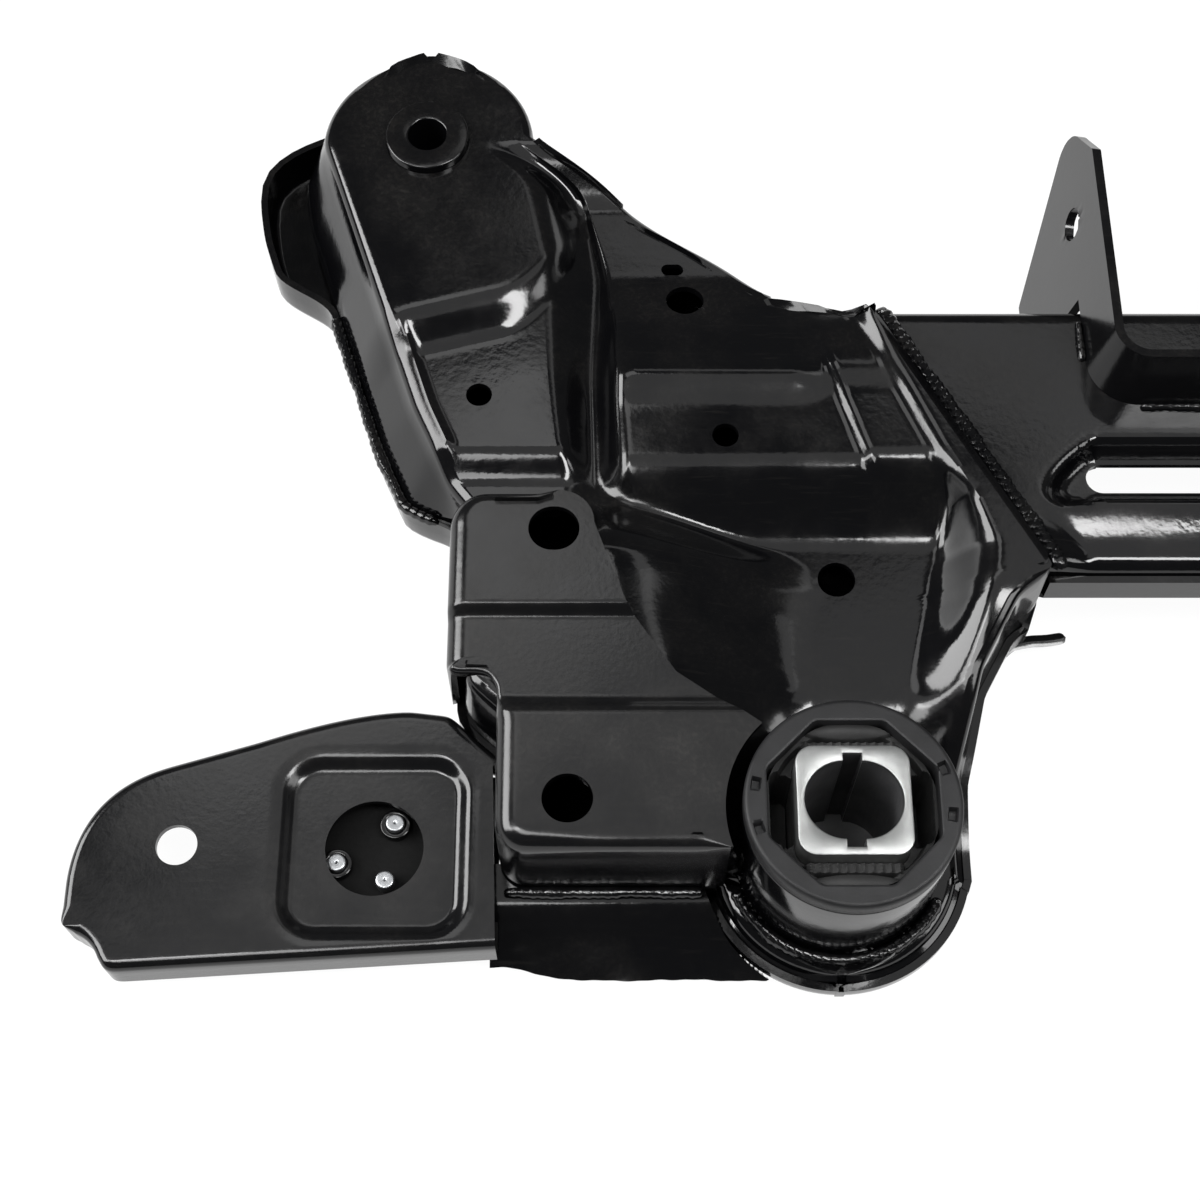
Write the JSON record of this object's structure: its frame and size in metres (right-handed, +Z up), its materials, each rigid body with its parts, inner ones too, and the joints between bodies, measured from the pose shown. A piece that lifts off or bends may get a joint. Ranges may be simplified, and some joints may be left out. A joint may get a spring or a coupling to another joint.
{
  "type": "subframe",
  "caption": "Welded pressed-steel car subframe with side arms, a box cross-member, rubber bushes in welded tubes, bolting pads, wing brackets and a clevis.",
  "frame": {"origin": "centre of the subframe's box, on the surface that it rests on", "axes": "+X across the car, +Y towards the arms at the front, +Z up"},
  "size_m": [0.908, 0.4148, 0.088],
  "materials": {
    "gloss_black": "glossy black dip coat over pressed steel",
    "satin_black": "satin black dip coat on flat sheet",
    "painted_weld": "rippled weld under black coat",
    "zinc_steel": "zinc plated, matt",
    "bush_sleeve": "grey-black moulded ring",
    "rubber": "matt moulded rubber",
    "aluminium_core": "sawn extrusion"
  },
  "bodies": {
    "root": {"upper_shell_left": "gloss_black", "lower_shell_left": "gloss_black", "pad_bracket_left": "satin_black", "wing_bracket_left": "satin_black", "wing_plate_left": "gloss_black", "wing_pins_left": "zinc_steel", "pin_sleeves_left": "gloss_black", "bush_tube_left": "gloss_black", "bush_sleeve_left": "bush_sleeve", "bush_rubber_left": "rubber", "bush_core_left": "aluminium_core", "arm_sleeve_left": "gloss_black", "arm_weld_left": "painted_weld", "seam_weld_left": "painted_weld", "eye_weld_left": "painted_weld", "pad_weld_left": "painted_weld", "rear_skirt_left": "gloss_black", "neck_tab_left": "gloss_black", "upper_shell_right": "gloss_black", "lower_shell_right": "gloss_black", "pad_bracket_right": "satin_black", "wing_bracket_right": "satin_black", "wing_plate_right": "gloss_black", "wing_pins_right": "zinc_steel", "pin_sleeves_right": "gloss_black", "bush_tube_right": "gloss_black", "bush_sleeve_right": "bush_sleeve", "bush_rubber_right": "rubber", "bush_core_right": "aluminium_core", "arm_sleeve_right": "gloss_black", "arm_weld_right": "painted_weld", "seam_weld_right": "painted_weld", "eye_weld_right": "painted_weld", "pad_weld_right": "painted_weld", "rear_skirt_right": "gloss_black", "neck_tab_right": "gloss_black", "crossmember_upper": "gloss_black", "crossmember_lower": "gloss_black", "clevis": "satin_black", "clevis_weld": "painted_weld"}
  },
  "joints": []
}
